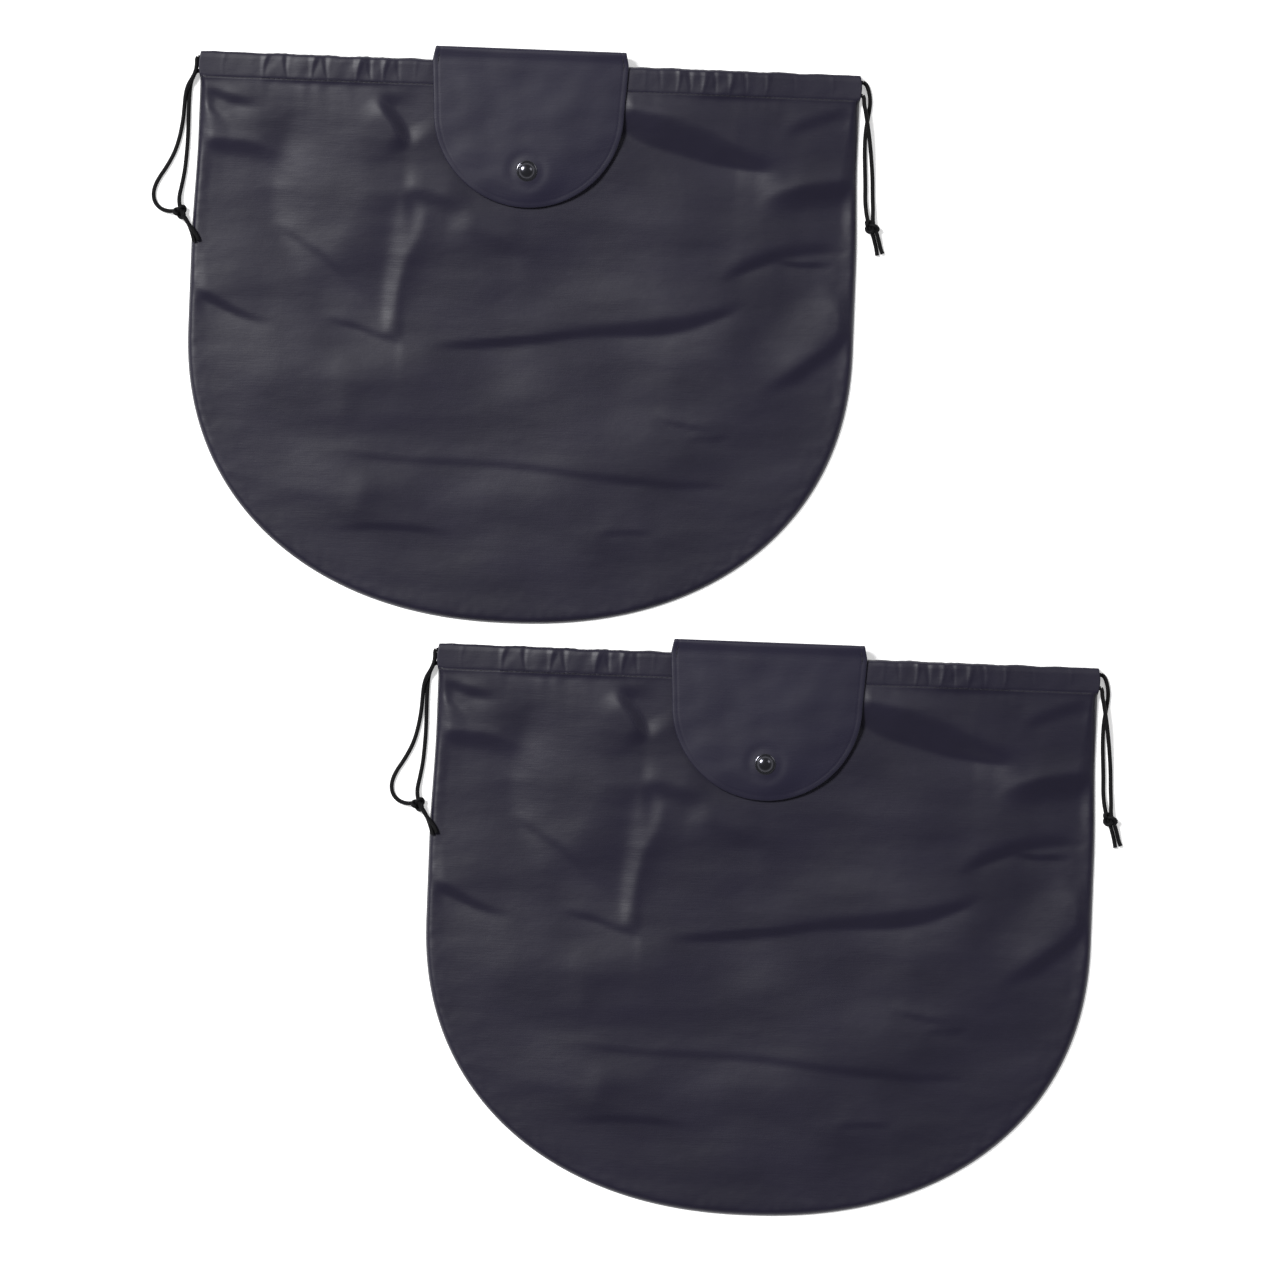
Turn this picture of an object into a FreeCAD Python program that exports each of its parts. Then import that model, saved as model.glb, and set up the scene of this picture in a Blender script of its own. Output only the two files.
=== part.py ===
"""A pair of drawstring wheel covers, lying flat side by side, each closed by a snap flap.

Each cover is a U-shaped bag of two fabric panels. A casing along each side of its mouth carries two
drawcords, one pulled from the left and one from the right. A lined flap, sewn inside the back casing,
folds over the mouth and snaps to the front panel.

Millimetres, +Z up. A cover's own frame has its origin at the middle of its outline, with X along the
mouth and the mouth towards +Y. The surface that the covers lie on is Z = 0.
"""

import FreeCAD, Part
import math
import os

Vector = FreeCAD.Vector

# The bag's outline: straight sides, then a fuller-than-elliptical arch.
HALF_WIDTH = 199.5
BAG_LENGTH = 336.0
ARCH_LENGTH = 171.0
ARCH_POWER = 2.2
ARCH_POINTS = 25

# The fabric, and how far the bag stands open as it lies.
FABRIC = 0.6
SEAM_WIDTH = 7.0
RAMP_WIDTH = 40.0
RAMP_FOOT = 3.0
PANEL_UNDERSIDE = 9.4

# The drawcord casings, front and back, and the free space for the cord's turn at each end.
CASING_DEPTH = 16.0
CASING_THICKNESS = 3.6
CASING_WALL = 0.4
CASING_END_FLAT = 14.0
CASING_RAMP_END = 50.0
CASING_BEND_RADIUS = 40.0
CASING_END_GAP = 0.2
CASING_SLIT = 9.0

# The cords. A lane is a cord's distance below the mouth's edge.
CORD_DIAMETER = 2.5
UPPER_LANE = 4.0
LOWER_LANE = 12.0
LINK_END_GAP = 0.3
ARC_SHARE = 0.45
KNOT_RADII = (4.6, 4.2, 3.5)

# The flap, from its hinge line over the mouth to its rounded end.
FLAP_HALF_WIDTH = 58.5
FLAP_TIP_RADIUS = 57.0
FLAP_TIP_CENTRE = 30.0
HINGE_RISE = 7.2
FLAP_OVER_CASING = 0.2
FLAP_SEW_DEPTH = 14.0
RISER_TOP_GAP = 0.8

# The snap, on the flap's middle line.
SNAP_BELOW_MOUTH = 65.0
CAP_RADIUS = 6.2
CAP_HEIGHT = 2.5
CAP_RIM = 0.9
CAP_SHANK_RADIUS = 1.3
SOCKET_FLANGE_RADIUS = 5.5
SOCKET_FLANGE = 0.6
SOCKET_RADIUS = 4.3
SOCKET_CAVITY_RADIUS = 2.45
STUD_FLANGE_RADIUS = 5.25
STUD_FLANGE = 0.7
STUD_RADIUS = 2.3
STUD_HEIGHT = 2.4
STUD_ROOF = 0.7
POST_FLANGE_RADIUS = 5.0
POST_FLANGE = 0.6
POST_SHANK_RADIUS = 1.5
SNAP_FIT = 0.05
SNAP_GAP = 0.2

# The second cover's place beside the first, from middle to middle.
SET_OFFSET_X = 156.2
SET_OFFSET_Y = -349.5

# Worked out from the sizes above.
HINGE_TOP = HINGE_RISE + FABRIC
MOUTH_Y = (BAG_LENGTH - HINGE_TOP) / 2
ARCH_Y = MOUTH_Y - BAG_LENGTH + ARCH_LENGTH
CASING_Y = MOUTH_Y - CASING_DEPTH
CORD_RADIUS = CORD_DIAMETER / 2
BACK_CORD_Z = CASING_THICKNESS / 2
FRONT_CORD_Z = PANEL_UNDERSIDE + CASING_THICKNESS / 2
FRONT_END_Z = CASING_THICKNESS + CASING_END_GAP + CASING_THICKNESS / 2
HINGE_Y = MOUTH_Y + HINGE_RISE
HINGE_Z = PANEL_UNDERSIDE + CASING_THICKNESS + FLAP_OVER_CASING + FABRIC
SNAP_Y = MOUTH_Y - SNAP_BELOW_MOUTH

# The free stretch of each drawcord strand, from its casing's end, through the knot, to its tip. Each
# point is how far it stands out from the casing's end, how far it lies below the mouth, and its height.
KNOT_PLACES = {"left": (7.2, 97.0, 3.9), "right": (7.9, 90.6, 3.9)}
STRANDS = {
    ("left", "front"): [
        (0.0, UPPER_LANE, FRONT_END_Z),
        (2.4, UPPER_LANE, FRONT_END_Z),
        (4.2, 5.7, 5.5),
        (4.9, 8.6, 5.2),
        (5.3, 13.5, 4.2),
        (6.1, 20.5, 2.8),
        (7.1, 29.5, 1.7),
        (7.8, 39.5, 1.4),
        (8.8, 49.5, 1.4),
        (11.2, 60.0, 1.4),
        (16.2, 69.8, 1.4),
        (21.4, 77.8, 1.4),
        (23.9, 84.4, 1.4),
        (23.5, 90.4, 1.4),
        (20.2, 94.9, 1.5),
        (15.0, 96.9, 2.2),
        (9.8, 96.5, 3.2),
        (6.4, 98.2, 3.9),
        (4.5, 102.0, 3.8),
        (2.8, 107.2, 3.7),
        (1.6, 112.6, 3.7),
    ],
    ("left", "back"): [
        (0.0, LOWER_LANE, BACK_CORD_Z),
        (2.0, LOWER_LANE, BACK_CORD_Z),
        (3.4, 13.3, 1.7),
        (3.7, 15.9, 1.5),
        (3.3, 20.4, 1.4),
        (2.8, 27.5, 1.4),
        (3.0, 37.0, 1.4),
        (3.5, 48.0, 1.4),
        (4.1, 59.5, 1.4),
        (4.9, 70.5, 1.4),
        (6.6, 80.5, 1.5),
        (8.2, 88.0, 2.6),
        (7.6, 93.8, 4.4),
        (4.6, 97.6, 5.0),
        (1.8, 101.6, 4.4),
        (-0.6, 106.8, 4.0),
        (-2.8, 112.0, 3.9),
    ],
    ("right", "front"): [
        (0.0, LOWER_LANE, FRONT_END_Z),
        (2.0, LOWER_LANE, FRONT_END_Z),
        (3.6, 13.3, 5.5),
        (4.2, 15.6, 5.4),
        (3.9, 19.6, 5.3),
        (3.2, 25.5, 5.2),
        (3.4, 32.0, 5.2),
        (4.6, 40.0, 4.4),
        (6.0, 50.0, 2.6),
        (7.2, 61.0, 1.4),
        (7.8, 71.5, 1.4),
        (8.4, 81.0, 2.0),
        (8.7, 88.4, 3.4),
        (10.4, 93.8, 3.6),
        (12.0, 98.6, 2.6),
        (13.6, 103.0, 1.5),
        (15.4, 106.0, 1.4),
    ],
    ("right", "back"): [
        (0.0, UPPER_LANE, BACK_CORD_Z),
        (2.4, UPPER_LANE, BACK_CORD_Z),
        (4.2, 5.7, 1.7),
        (5.0, 8.4, 1.5),
        (4.9, 12.8, 1.4),
        (3.8, 19.5, 1.4),
        (2.4, 27.5, 1.4),
        (1.8, 37.0, 1.4),
        (2.1, 48.0, 1.4),
        (3.0, 59.5, 1.4),
        (3.3, 70.5, 1.4),
        (4.2, 79.8, 2.0),
        (5.9, 87.0, 3.3),
        (7.5, 93.0, 3.6),
        (9.1, 98.6, 2.6),
        (10.6, 103.8, 1.5),
        (11.3, 108.2, 1.4),
    ],
}


def box(low, high):
    """A block from its lowest corner to its highest."""
    sides = Vector(*high) - Vector(*low)
    return Part.makeBox(sides.x, sides.y, sides.z, Vector(*low))


def disc(radius, z_low, z_high):
    """A round piece on the snap's axis."""
    return Part.makeCylinder(radius, z_high - z_low, Vector(0, SNAP_Y, z_low))


def arc_through(a, b, c):
    return Part.Arc(a, b, c).toShape()


def rounded_edges(points, radius=None):
    """Straight runs through the points, joined by tangent arcs; also the arcs' radii.

    Without a radius, each arc is as large as its two runs allow."""
    edges, radii = [], []
    start = points[0]
    for before, corner, after in zip(points, points[1:], points[2:]):
        run_in, run_out = corner - before, after - corner
        half_turn = run_in.getAngle(run_out) / 2
        reach = ARC_SHARE * min(run_in.Length, run_out.Length)
        if radius is not None:
            reach = radius * math.tan(half_turn)
        radii.append(reach / math.tan(half_turn))
        back, ahead = -run_in.normalize(), run_out.normalize()
        arc_start, arc_end = corner + back * reach, corner + ahead * reach
        inward = (back + ahead).normalize()
        middle = corner + inward * (reach * math.tan(half_turn / 2))
        edges.append(Part.LineSegment(start, arc_start).toShape())
        edges.append(arc_through(arc_start, middle, arc_end))
        start = arc_end
    edges.append(Part.LineSegment(start, points[-1]).toShape())
    return edges, radii


def cord_along(edges):
    """A round cord swept along a smooth path."""
    path = Part.Wire(edges)
    start, way = path.Edges[0].valueAt(path.Edges[0].FirstParameter), path.Edges[0].tangentAt(0)
    section = Part.Wire(Part.makeCircle(CORD_RADIUS, start, way))
    return path.makePipeShell([section], True, False)


def outline(inset, z, top_y=CASING_Y):
    """The bag's outline at a height, with its sides and arch drawn in by an inset."""
    a, b = HALF_WIDTH - inset, ARCH_LENGTH - inset
    power = 2 / ARCH_POWER
    points = []
    for i in range(ARCH_POINTS):
        turn = math.pi * i / (ARCH_POINTS - 1)
        across = math.copysign(abs(math.cos(turn)) ** power, math.cos(turn))
        points.append(Vector(a * across, ARCH_Y - b * abs(math.sin(turn)) ** power, z))
    points[0], points[-1] = Vector(a, ARCH_Y, z), Vector(-a, ARCH_Y, z)
    arch = Part.BSplineCurve()
    arch.interpolate(Points=points, InitialTangent=Vector(0, -1, 0), FinalTangent=Vector(0, 1, 0))
    right, left = Vector(a, top_y, z), Vector(-a, top_y, z)
    return Part.Wire(
        [
            Part.LineSegment(right, points[0]).toShape(),
            arch.toShape(),
            Part.LineSegment(points[-1], left).toShape(),
            Part.LineSegment(left, right).toShape(),
        ]
    )


def sheet(inset, z, thickness, top_y=CASING_Y):
    """A flat layer of fabric with the bag's outline."""
    return Part.Face(outline(inset, z, top_y)).extrude(Vector(0, 0, thickness))


def back_panel():
    return sheet(0, 0, FABRIC)


def edge_seam():
    """The two panels' seam allowance and its overlock thread, inside the bag all round the U."""
    inside = sheet(SEAM_WIDTH, FABRIC, FABRIC, CASING_Y + 1)
    return sheet(0, FABRIC, FABRIC).cut(inside)


def front_panel():
    """The front panel, raised off the back one and sloping down to the seam round the U."""
    foot = 2 * FABRIC
    outer = Part.makeLoft(
        [outline(0, foot), outline(RAMP_WIDTH, PANEL_UNDERSIDE + FABRIC)], True, True
    )
    inner = Part.makeLoft(
        [outline(RAMP_FOOT, foot, CASING_Y + 1), outline(RAMP_WIDTH, PANEL_UNDERSIDE, CASING_Y + 1)],
        True,
        True,
    )
    return outer.cut(inner).cut(disc(POST_SHANK_RADIUS + SNAP_FIT, 0, HINGE_Z))


def front_path(y, shift_z=0.0, overrun=0.0):
    """The edges of the front casing's centre line, high in the middle and low at both ends."""
    low, high = FRONT_END_Z + shift_z, FRONT_CORD_Z + shift_z
    end, flat, top = HALF_WIDTH + overrun, HALF_WIDTH - CASING_END_FLAT, HALF_WIDTH - CASING_RAMP_END
    points = [
        Vector(x, y, z) for x, z in [(-end, low), (-flat, low), (-top, high), (top, high), (flat, low), (end, low)]
    ]
    return rounded_edges(points, CASING_BEND_RADIUS)[0]


def reversed_edges(edges):
    """The same run of edges, taken from its other end."""
    return [edge.reversed() for edge in reversed(edges)]


def front_band(half_height, y_low, depth, overrun=0.0):
    """A band that follows the front casing's centre line, extruded across the casing."""
    top = front_path(y_low, half_height, overrun)
    bottom = front_path(y_low, -half_height, overrun)
    end, z = HALF_WIDTH + overrun, FRONT_END_Z
    sides = [
        Part.LineSegment(Vector(x, y_low, z - half_height), Vector(x, y_low, z + half_height)).toShape()
        for x in (-end, end)
    ]
    wire = Part.Wire(Part.sortEdges([*top, *bottom, *sides])[0])
    return Part.Face(wire).extrude(Vector(0, depth, 0))


def end_slits(z_low, z_high):
    """The gaps in a casing's inner wall, near both ends, that a cord passes through."""
    y_low, y_high = CASING_Y + CASING_WALL, MOUTH_Y - CASING_WALL
    return [
        box((min(x, x + side * CASING_SLIT), y_low, z_low), (max(x, x + side * CASING_SLIT), y_high, z_high))
        for x, side in ((-HALF_WIDTH, 1), (HALF_WIDTH, -1))
    ]


def front_casing():
    half = CASING_THICKNESS / 2
    tube = front_band(half, CASING_Y, CASING_DEPTH)
    tunnel = front_band(half - CASING_WALL, CASING_Y + CASING_WALL, CASING_DEPTH - 2 * CASING_WALL, 1)
    return tube.cut(tunnel).cut(end_slits(FRONT_END_Z - half, FRONT_END_Z))


def back_casing():
    end = HALF_WIDTH
    tube = box((-end, CASING_Y, 0), (end, MOUTH_Y, CASING_THICKNESS))
    tunnel = box(
        (-end - 1, CASING_Y + CASING_WALL, CASING_WALL),
        (end + 1, MOUTH_Y - CASING_WALL, CASING_THICKNESS - CASING_WALL),
    )
    return tube.cut(tunnel).cut(end_slits(BACK_CORD_Z, CASING_THICKNESS))


def held_cord(pull):
    """A drawcord inside the casings: from its pull side, along the front, round the far end and back."""
    side = 1 if pull == "right" else -1
    front_y, back_y = MOUTH_Y - UPPER_LANE, MOUTH_Y - LOWER_LANE
    if pull == "right":
        front_y, back_y = back_y, front_y
    drop, across = FRONT_END_Z - BACK_CORD_Z, front_y - back_y
    radius = math.hypot(drop, across) / 2
    turn_x = HALF_WIDTH - LINK_END_GAP - CORD_RADIUS - radius
    edges = front_path(front_y)
    far_run = edges[0] if side > 0 else edges[-1]
    others = edges[1:] if side > 0 else edges[:-1]
    inner_end = far_run.Vertexes[1 if side > 0 else 0].Point
    front_turn = Vector(-side * turn_x, front_y, FRONT_END_Z)
    back_turn = Vector(-side * turn_x, back_y, BACK_CORD_Z)
    crown = (front_turn + back_turn) / 2 + Vector(-side * radius, 0, 0)
    link = arc_through(front_turn, crown, back_turn)
    edges = others + [
        Part.LineSegment(inner_end, front_turn).toShape(),
        link,
        Part.LineSegment(back_turn, Vector(side * HALF_WIDTH, back_y, BACK_CORD_Z)).toShape(),
    ]
    ordered = Part.sortEdges(edges)[0]
    return cord_along(ordered)


def placed(pull, point):
    """A point of a strand's or knot's own list, in the cover's frame."""
    out, below, z = point
    side = 1 if pull == "right" else -1
    return Vector(side * (HALF_WIDTH + out), MOUTH_Y - below, z)


def free_cord(pull, casing):
    """A strand outside its casing, from the casing's end to its cut tip."""
    edges, radii = rounded_edges([placed(pull, p) for p in STRANDS[pull, casing]])
    cord = cord_along(edges)
    length = sum(edge.Length for edge in edges)
    full = cord.Volume / (math.pi * CORD_RADIUS**2 * length)
    print(f"{pull} {casing} strand: {length:.1f} mm, volume {full:.3f} of section times length, radii",
          " ".join(f"{r:.1f}" for r in radii))
    return cord


def knot(pull):
    """The overhand knot that ties a cord's two strands together."""
    ball = Part.makeSphere(1)
    stretch = FreeCAD.Matrix()
    stretch.scale(*KNOT_RADII)
    ball = ball.transformGeometry(stretch)
    ball.translate(placed(pull, KNOT_PLACES[pull]))
    return ball


def flap_layer(z):
    """One layer of the flap, from its hinge line to its rounded end."""
    tip_y = MOUTH_Y - FLAP_TIP_CENTRE
    shoulder_left, shoulder_right = Vector(-FLAP_TIP_RADIUS, tip_y, z), Vector(FLAP_TIP_RADIUS, tip_y, z)
    corners = [Vector(x, y, z) for x, y in (
        (FLAP_HALF_WIDTH, MOUTH_Y), (FLAP_TIP_RADIUS, HINGE_Y), (-FLAP_TIP_RADIUS, HINGE_Y), (-FLAP_HALF_WIDTH, MOUTH_Y)
    )]
    ring = [shoulder_right, *corners, shoulder_left]
    edges = [Part.LineSegment(a, b).toShape() for a, b in zip(ring, ring[1:])]
    edges.append(arc_through(shoulder_left, Vector(0, tip_y - FLAP_TIP_RADIUS, z), shoulder_right))
    layer = Part.Face(Part.Wire(edges)).extrude(Vector(0, 0, FABRIC))
    return layer.cut(disc(CAP_SHANK_RADIUS + SNAP_FIT, 0, HINGE_Z + CAP_HEIGHT))


def flap_base():
    """The flap's sewn end inside the back casing, and the stretch that rises past the mouth's edge."""
    thick, wide = 2 * FABRIC, FLAP_TIP_RADIUS
    strip = box(
        (-wide, MOUTH_Y - FLAP_SEW_DEPTH, CASING_THICKNESS), (wide, HINGE_Y, CASING_THICKNESS + thick)
    )
    riser = box(
        (-wide, HINGE_Y - FABRIC, CASING_THICKNESS), (wide, HINGE_Y + FABRIC, HINGE_Z - RISER_TOP_GAP)
    )
    return strip.fuse(riser).removeSplitter()


def snap_cap():
    """The domed cap on the flap's outside, with the shank that holds its socket."""
    face_z = HINGE_Z + FABRIC
    dome_rise = CAP_HEIGHT - CAP_RIM
    dome_radius = (CAP_RADIUS**2 + dome_rise**2) / (2 * dome_rise)
    dome = Part.makeSphere(dome_radius, Vector(0, SNAP_Y, face_z + CAP_HEIGHT - dome_radius))
    head = disc(CAP_RADIUS, face_z, face_z + CAP_HEIGHT).common(dome)
    rim = [edge for edge in head.Edges if abs(edge.BoundBox.ZMin - face_z) < 1e-3 and edge.BoundBox.XLength > 1]
    head = head.makeFillet(CAP_RIM / 3, rim)
    shank_end = HINGE_Z - FABRIC - SOCKET_FLANGE + SNAP_GAP / 2
    return head.fuse(disc(CAP_SHANK_RADIUS, shank_end, face_z + CAP_RIM)).removeSplitter()


def snap_socket():
    """The socket under the flap, open below for the stud."""
    under_flap = HINGE_Z - FABRIC
    bottom = PANEL_UNDERSIDE + FABRIC + STUD_FLANGE + SNAP_GAP
    flange_z = under_flap - SOCKET_FLANGE
    body = disc(SOCKET_FLANGE_RADIUS, flange_z, under_flap).fuse(disc(SOCKET_RADIUS, bottom, flange_z))
    body = body.removeSplitter()
    return body.cut(disc(SOCKET_CAVITY_RADIUS, 0, flange_z)).cut(disc(CAP_SHANK_RADIUS + SNAP_FIT, 0, HINGE_Z))


def snap_stud():
    """The stud on the front panel's outside, hollow for the post's shank."""
    base = PANEL_UNDERSIDE + FABRIC
    top = base + STUD_HEIGHT
    ball = disc(STUD_RADIUS, base, top)
    crown = [edge for edge in ball.Edges if abs(edge.BoundBox.ZMin - top) < 1e-3]
    ball = ball.makeFillet(STUD_RADIUS / 4, crown)
    stud = disc(STUD_FLANGE_RADIUS, base, base + STUD_FLANGE).fuse(ball).removeSplitter()
    return stud.cut(disc(POST_SHANK_RADIUS + SNAP_FIT, base, top - STUD_ROOF))


def snap_post():
    """The post behind the front panel, whose shank passes through into the stud."""
    flange_z = PANEL_UNDERSIDE - POST_FLANGE
    shank_top = PANEL_UNDERSIDE + FABRIC + STUD_HEIGHT - STUD_ROOF - SNAP_FIT
    flange = disc(POST_FLANGE_RADIUS, flange_z, PANEL_UNDERSIDE)
    return flange.fuse(disc(POST_SHANK_RADIUS, flange_z, shank_top)).removeSplitter()


def cover_pieces():
    """Every piece of one cover, by name."""
    pieces = {
        "front_panel": front_panel(),
        "back_panel": back_panel(),
        "edge_seam": edge_seam(),
        "front_casing": front_casing(),
        "back_casing": back_casing(),
        "flap_base": flap_base(),
        "flap_lining": flap_layer(HINGE_Z - FABRIC),
        "flap_outer": flap_layer(HINGE_Z),
        "snap_cap": snap_cap(),
        "snap_socket": snap_socket(),
        "snap_stud": snap_stud(),
        "snap_post": snap_post(),
    }
    for pull in ("left", "right"):
        pieces[f"{pull}_cord_in_casings"] = held_cord(pull)
        for casing in ("front", "back"):
            pieces[f"{pull}_cord_{casing}_end"] = free_cord(pull, casing)
        pieces[f"{pull}_knot"] = knot(pull)
    return pieces


def main():
    os.makedirs("parts", exist_ok=True)
    half_offset = Vector(SET_OFFSET_X / 2, SET_OFFSET_Y / 2, 0)
    for name, shape in cover_pieces().items():
        print(f"{name}: valid {shape.isValid()}, {len(shape.Solids)} solid, {shape.Volume:.1f} mm3")
        for cover, offset in (("cover_a", half_offset * -1), ("cover_b", half_offset)):
            copy = shape.copy()
            copy.translate(offset)
            copy.exportStep(f"parts/{cover}_{name}.step")


main()
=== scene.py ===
"""The looks of the pair of drawstring wheel covers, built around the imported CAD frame.

Each cover's pieces are worked out in its own millimetres: x from its middle line, how far below the
mouth's edge, and the height. place() turns those into the row frame's metres.
"""

import bpy
import math
import numpy as np
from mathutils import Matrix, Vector


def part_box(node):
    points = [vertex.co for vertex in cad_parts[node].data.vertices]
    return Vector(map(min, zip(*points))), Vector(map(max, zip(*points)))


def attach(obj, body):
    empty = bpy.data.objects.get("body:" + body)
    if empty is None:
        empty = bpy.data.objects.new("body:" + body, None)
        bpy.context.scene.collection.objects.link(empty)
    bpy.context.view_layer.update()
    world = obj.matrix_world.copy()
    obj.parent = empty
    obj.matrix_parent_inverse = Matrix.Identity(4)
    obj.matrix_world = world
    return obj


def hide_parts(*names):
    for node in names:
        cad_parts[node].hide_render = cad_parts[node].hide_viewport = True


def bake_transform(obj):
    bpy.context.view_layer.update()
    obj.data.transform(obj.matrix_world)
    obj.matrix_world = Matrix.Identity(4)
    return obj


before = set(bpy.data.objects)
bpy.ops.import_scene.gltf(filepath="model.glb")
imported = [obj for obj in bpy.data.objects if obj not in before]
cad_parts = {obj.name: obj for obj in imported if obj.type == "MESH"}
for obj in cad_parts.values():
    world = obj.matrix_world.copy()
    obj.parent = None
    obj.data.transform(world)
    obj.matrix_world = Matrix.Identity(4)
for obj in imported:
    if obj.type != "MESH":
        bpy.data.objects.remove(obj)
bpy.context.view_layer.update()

MM = 0.001
COVERS = ("a", "b")

# Sizes of one cover, read from its CAD nodes.
CASING_LOW, CASING_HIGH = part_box("cover_a_back_casing")
PANEL_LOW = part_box("cover_a_front_panel")[0]
HALF_WIDTH = (CASING_HIGH[0] - CASING_LOW[0]) / 2 / MM
CASING_DEPTH = (CASING_HIGH[1] - CASING_LOW[1]) / MM
BAG_LENGTH = (CASING_HIGH[1] - PANEL_LOW[1]) / MM

# The outline's arch is a fuller curve than an ellipse.
ARCH_LENGTH = 171.0
ARCH_POWER = 2.2
ARCH_START = BAG_LENGTH - ARCH_LENGTH

# Cloth and cord. A lane is how far below the mouth's edge a cord runs in its casing.
CLOTH = 0.35
SEAM_CLOTH = 0.25
CORD_DIAMETER = 2.5
FRONT_CORD_Z = 5.6
BACK_CORD_Z = 1.8
UPPER_LANE = 4.0
LOWER_LANE = 12.0
HELD_CORD_MARGIN = 1.6
HELD_CORD_TURN = 7.0
STITCH_LINE = CASING_DEPTH - 0.6
MOUTH_NARROWING = 1.7

# Millimetres of cloth to one step of its coordinates.
CLOTH_UV_STEP = 100

# The casings: the fold at the mouth's edge, the hem turned in behind it, how far the ends bow out and
# the stitched cloth overlaps, and the inner faces' heights.
FOLD_DEPTH = 2.0
HEM_NOTCH = 7.0
END_BOW = 1.2
SEAM_OVERLAP = 0.8
FRONT_HEM_Z = 4.1
BACK_HEM_Z = 3.35

# How finely the cloth is divided.
PANEL_COLUMNS = 241
PANEL_CROWDING = 1.15
CASING_COLUMNS = 481
STRAIGHT_ROWS = 92
ARCH_ROWS = 90
CASING_ROWS = 15
FLAP_COLUMNS = 109
FLAP_CROWDING = 1.5

# The flap: its round tip, the fold past the mouth, its snap, and where its cloth lies.
FLAP_TIP_RADIUS = 57.0
FLAP_TIP_CENTRE = 30.0
FLAP_FOLD_BELOW = -7.6
FLAP_HEIGHT = 13.8
FLAP_STITCH_INSET = 3.1
SNAP_BELOW = 65

# Sewing thread, in metres: the length of a stitch, the gap to the next, and the thread's thickness.
STITCH = 2.4 * MM
STITCH_GAP = 0.7 * MM
FLAP_THREAD = 0.34 * MM
CASING_THREAD = 0.32 * MM


# ---------------------------------------------------------------- helpers

def mouth_of(cover):
    """The middle of a cover's mouth edge, in metres, on the surface it lies on."""
    low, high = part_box(f"cover_{cover}_back_casing")
    return Vector(((low[0] + high[0]) / 2, high[1], 0))


def place(cover, x, below, z):
    """Row-frame points, in metres, for places on a cover given in its own millimetres."""
    origin = mouth_of(cover)
    return np.stack([origin.x + x * MM, origin.y - below * MM, z * MM], axis=-1)


def smoothstep(low, high, value):
    """From 0 at low to 1 at high, level at both ends."""
    t = np.clip((value - low) / (high - low), 0, 1)
    return t * t * (3 - 2 * t)


def noise(x, y, seed):
    """Smooth gradient noise, roughly from -1 to 1."""
    turn = np.random.RandomState(seed).uniform(0, 2 * np.pi, (64, 64))
    xi, yi = np.floor(x).astype(int), np.floor(y).astype(int)
    fx, fy = x - xi, y - yi
    u = fx**3 * (fx * (6 * fx - 15) + 10)
    w = fy**3 * (fy * (6 * fy - 15) + 10)

    def corner(i, j):
        angle = turn[(xi + i) % 64, (yi + j) % 64]
        return np.cos(angle) * (fx - i) + np.sin(angle) * (fy - j)

    top = corner(0, 0) * (1 - u) + corner(1, 0) * u
    bottom = corner(0, 1) * (1 - u) + corner(1, 1) * u
    return 1.5 * (top * (1 - w) + bottom * w)


def smooth_line(along, points):
    """A line through points with its corners rounded, read at each place along it."""
    points = np.array(points, float)
    steps = np.linspace(points[0, 0], points[-1, 0], 60)
    bend = np.pad(np.interp(steps, points[:, 0], points[:, 1]), 6, mode="reflect", reflect_type="odd")
    window = np.hanning(13)
    return np.interp(along, steps, np.convolve(bend, window / window.sum(), "valid"))


def crease(x, below, kind, height, width, over, under, points, fade):
    """One crease's rise over its flat surroundings.

    A drop falls from the side over its line to the side under it. The line runs through the points;
    width rounds its crest, over and under are how far it reaches, and fade is the share of its length
    over which each end dies away."""
    points = np.array(points, float)
    start, way = points[0], points[-1] - points[0]
    length = np.hypot(*way)
    way = way / length
    along = (points - start) @ way / length
    across = (points - start) @ np.array([-way[1], way[0]])
    s = ((x - start[0]) * way[0] + (below - start[1]) * way[1]) / length
    r = (below - start[1]) * way[0] - (x - start[0]) * way[1]
    q = r - smooth_line(s, np.column_stack([along, across]))
    taper = smoothstep(0, fade[0], s) * smoothstep(0, fade[1], 1 - s)
    fall = np.exp(-(np.sqrt(q * q + width * width) - width) / np.where(q < 0, over, under))
    shape = {"drop": -np.tanh(q / width), "ridge": 1.0, "valley": -1.0}[kind]
    return height * taper * fall * shape


def new_object(name, vertices, faces, uv=None, smooth=True):
    """A mesh object from row-frame vertices, with its cloth coordinates if it has any."""
    mesh = bpy.data.meshes.new(name)
    mesh.from_pydata([tuple(v) for v in vertices], [], faces)
    mesh.polygons.foreach_set("use_smooth", [smooth] * len(mesh.polygons))
    if uv is not None:
        layer = mesh.uv_layers.new(name="cloth")
        corners = np.empty(len(mesh.loops), np.int32)
        mesh.loops.foreach_get("vertex_index", corners)
        layer.data.foreach_set("uv", np.asarray(uv, np.float32)[corners].ravel())
    mesh.validate()
    mesh.update()
    piece = bpy.data.objects.new(name, mesh)
    bpy.context.scene.collection.objects.link(piece)
    return piece


def grid_faces(rows, columns, first=0):
    """Faces of a grid of vertices, facing up where its rows run down the cover."""
    faces = []
    for r in range(rows - 1):
        for c in range(columns - 1):
            a = first + r * columns + c
            faces.append((a, a + columns, a + columns + 1, a + 1))
    return faces


def wear(piece, material):
    """Gives a piece or a CAD node one material."""
    piece.data.materials.clear()
    piece.data.materials.append(material)
    return piece


def add_thickness(piece, thickness, offset):
    """Gives a sheet its thickness; an offset of -1 puts it all under the faces."""
    solid = piece.modifiers.new("thickness", "SOLIDIFY")
    solid.thickness = thickness * MM
    solid.offset = offset
    solid.use_even_offset = False
    return piece


# ---------------------------------------------------------------- camera, floor and light

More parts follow.
